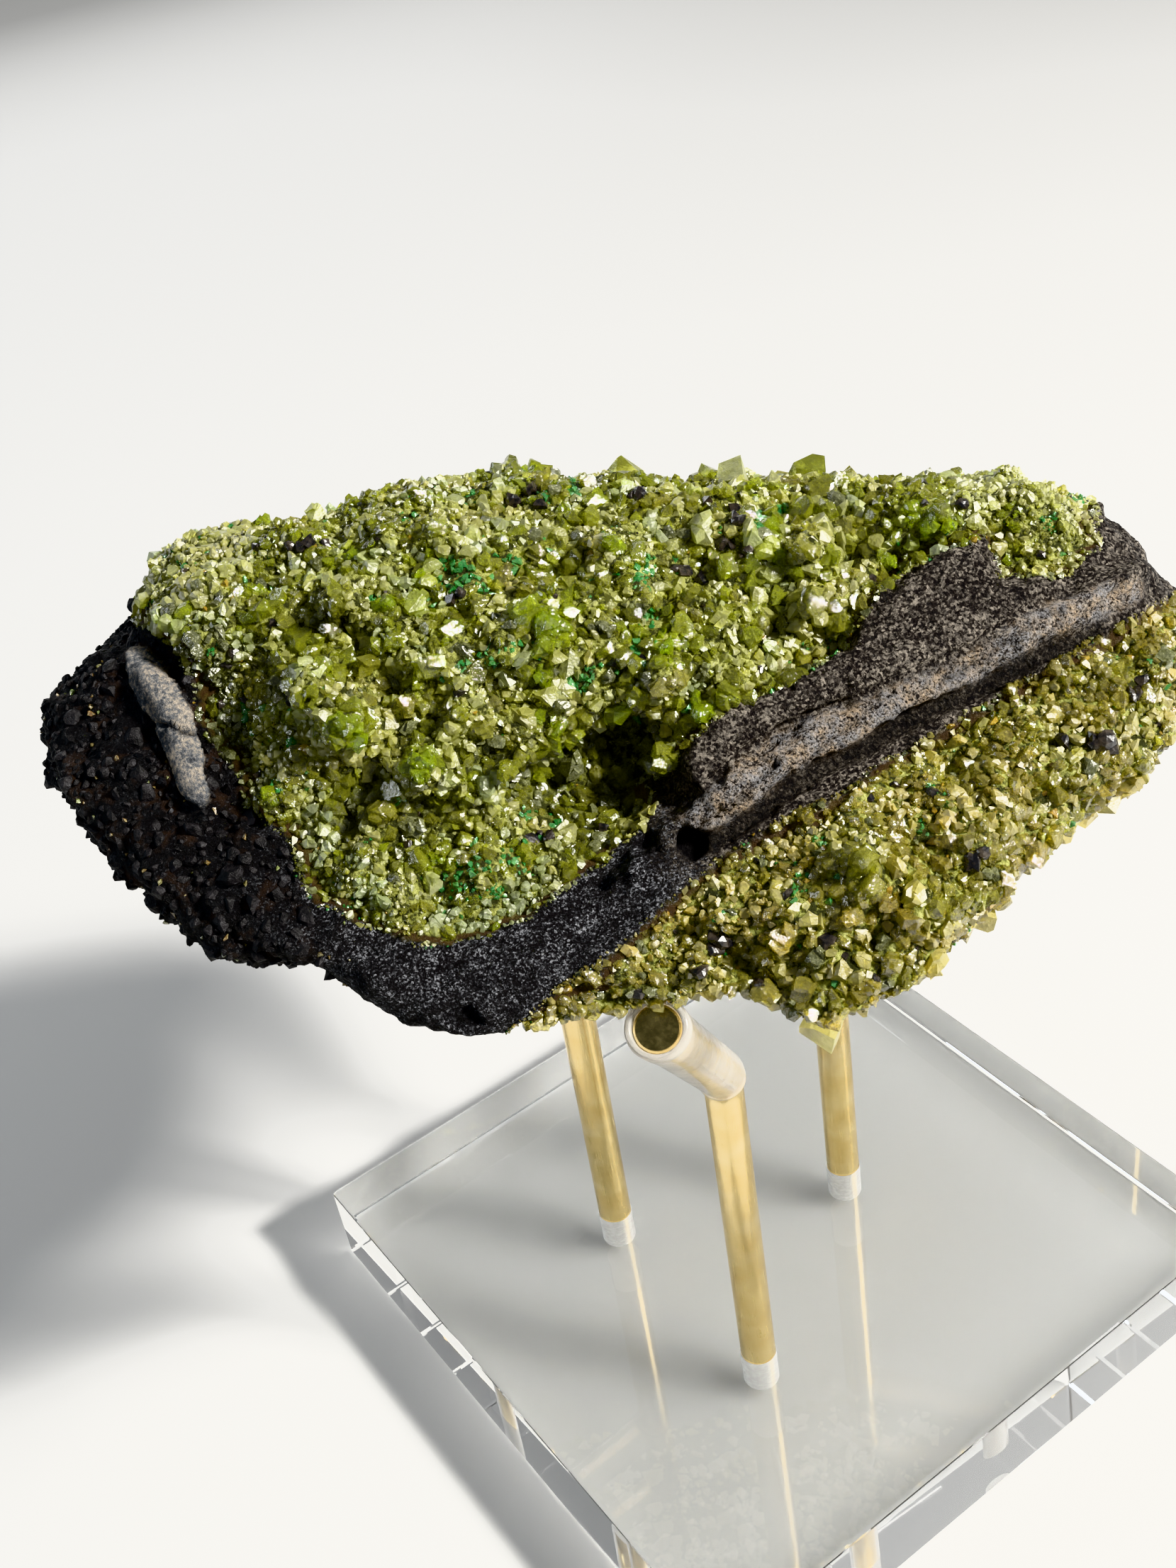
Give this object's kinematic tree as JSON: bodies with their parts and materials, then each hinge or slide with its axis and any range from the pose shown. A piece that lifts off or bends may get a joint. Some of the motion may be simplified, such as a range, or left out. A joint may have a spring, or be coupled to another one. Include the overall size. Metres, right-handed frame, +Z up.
{
  "type": "peridot crystal specimen on a stand",
  "caption": "Rough mass of green olivine crystals crossed by a dark lava-rock vein, resting on bent brass rods with clear sleeves in a square clear block.",
  "frame": {"origin": "centre of the clear block's underside", "axes": "+Z up, +X along the stone's long side, the stone's display face looks towards -Y and up; the block is turned 59.6 degrees about Z"},
  "size_m": [0.0935, 0.087, 0.0966],
  "materials": {
    "clear_block": "clear, polished edges",
    "brass": "drawn, satin",
    "clear_sleeve": "clear, soft",
    "rock": "glassy green grains on rough dark rock"
  },
  "bodies": {
    "root": {"acrylic_block": "clear_block", "brass_rod_front": "brass", "brass_rod_left": "brass", "brass_rod_right": "brass", "clear_sleeve_front": "clear_sleeve", "clear_sleeve_left": "clear_sleeve", "clear_sleeve_right": "clear_sleeve", "peridot_stone": "rock"}
  },
  "joints": []
}
